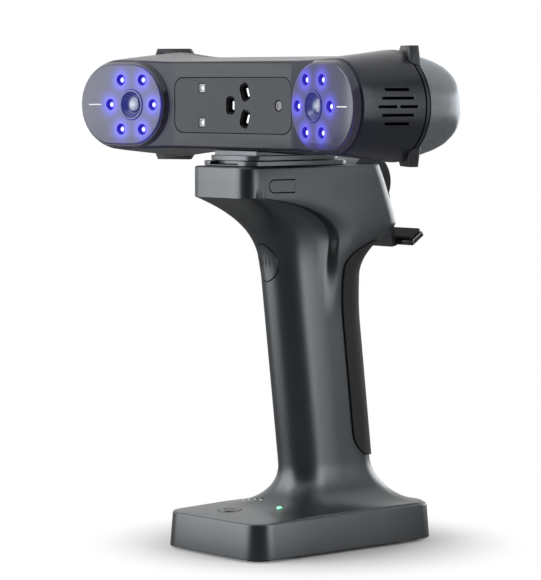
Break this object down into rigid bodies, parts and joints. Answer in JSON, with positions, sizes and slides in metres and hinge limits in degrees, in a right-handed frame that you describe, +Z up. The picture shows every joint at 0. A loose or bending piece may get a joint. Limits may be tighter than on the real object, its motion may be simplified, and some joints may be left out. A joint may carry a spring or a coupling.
{
  "type": "hand-held three-d scanner",
  "caption": "Hand-held structured-light scanner head on a pistol-grip battery handle, with a tilting phone holder behind the head.",
  "frame": {"origin": "middle of the object's box, on the plane under the feet", "axes": "+Z up, the cameras face -Y, +X is the scanner's own right seen from the front"},
  "size_m": [0.224, 0.135, 0.261],
  "materials": {
    "shell": "satin gun-metal grey moulding",
    "rear": "lighter satin grey moulding",
    "gloss": "polished dark panel",
    "rubber": "fine-grained matte black",
    "lens": "coated deep blue",
    "lamp": "blue lit resin",
    "white_lamp": "clear white resin",
    "green_lamp": "green lit resin",
    "board": "green circuit board",
    "metal": "machined satin",
    "cell": "printed sleeve, unmarked",
    "black": "fine satin black"
  },
  "bodies": {
    "handle": {"handle_shell": "shell", "cradle_plate": "metal", "base_cover": "black", "base_board": "board", "battery_lamps": "white_lamp", "charge_lamp": "green_lamp", "charge_socket": "metal", "foot_1": "rubber", "foot_2": "rubber", "foot_3": "rubber", "foot_4": "rubber", "grip_pad": "rubber", "trigger_switch": "black", "cell_shelf_lower": "black", "cell_shelf_upper": "black", "battery_cell_front": "cell", "battery_cell_rear": "cell", "hinge_yoke": "black", "hinge_pin": "metal"},
    "trigger": {"trigger_button": "black"},
    "power_key": {"power_button": "rear"},
    "tab_left": {"release_tab_left": "shell"},
    "tab_right": {"release_tab_right": "shell"},
    "head": {"front_shell": "shell", "rear_shell": "rear", "camera_bezel_left": "gloss", "camera_bezel_right": "gloss", "led_ring_left": "lamp", "led_ring_right": "lamp", "lens_barrel_left": "black", "lens_barrel_right": "black", "lens_glass_left": "lens", "lens_glass_right": "lens", "centre_window": "gloss", "laser_projector": "black", "sensor_eye_upper": "white_lamp", "sensor_eye_lower": "white_lamp", "round_sensor": "lens", "optical_bench": "metal", "main_board": "board", "heat_sink": "metal", "rear_board": "board", "data_socket": "metal", "case_screw_lower_left": "metal", "case_screw_upper_left": "metal", "case_screw_lower_right": "metal", "case_screw_upper_right": "metal", "bumper_lower_left": "rubber", "bumper_upper_left": "rubber", "bumper_lower_right": "rubber", "bumper_upper_right": "rubber", "head_shoe": "metal"},
    "key_minus_body": {"key_minus": "rubber"},
    "key_scan_body": {"key_scan": "rubber"},
    "key_plus_body": {"key_plus": "rubber"},
    "holder": {"holder_arm": "black", "lower_jaw": "black", "lower_jaw_pad": "rubber"},
    "jaw": {"upper_jaw": "black", "upper_jaw_pad": "rubber"}
  },
  "joints": [
    {"name": "trigger_press", "type": "slide", "parent": "handle", "child": "trigger", "axis": [0, 1, 0], "range_m": [0, 0.0015], "stiffness_N_per_m": 600},
    {"name": "power_press", "type": "slide", "parent": "handle", "child": "power_key", "axis": [0, 0, -1], "range_m": [0, 0.0008], "stiffness_N_per_m": 800},
    {"name": "key_minus_press", "type": "slide", "parent": "head", "child": "key_minus_body", "axis": [0, -1, 0], "range_m": [0, 0.0006], "stiffness_N_per_m": 800},
    {"name": "key_scan_press", "type": "slide", "parent": "head", "child": "key_scan_body", "axis": [0, -1, 0], "range_m": [0, 0.0006], "stiffness_N_per_m": 800},
    {"name": "key_plus_press", "type": "slide", "parent": "head", "child": "key_plus_body", "axis": [0, -1, 0], "range_m": [0, 0.0006], "stiffness_N_per_m": 800},
    {"name": "tab_left_press", "type": "hinge", "parent": "handle", "child": "tab_left", "pos_m": [-0.022, -0.02771, 0.1899], "axis": [0, 0, 1], "range_deg": [0, 5], "stiffness_Nm_per_rad": 0.4},
    {"name": "tab_right_press", "type": "hinge", "parent": "handle", "child": "tab_right", "pos_m": [0.022, -0.02771, 0.1899], "axis": [0, 0, -1], "range_deg": [0, 5], "stiffness_Nm_per_rad": 0.4},
    {"name": "head_slide", "type": "slide", "parent": "handle", "child": "head", "axis": [0, -1, 0], "range_m": [0, 0.03]},
    {"name": "phone_tilt", "type": "hinge", "parent": "handle", "child": "holder", "pos_m": [0, 0.0358, 0.1901], "axis": [1, 0, 0], "range_deg": [0, 15]},
    {"name": "jaw_slide", "type": "slide", "parent": "holder", "child": "jaw", "axis": [0, -0.2079, 0.9781], "range_m": [0, 0.02], "stiffness_N_per_m": 150}
  ]
}
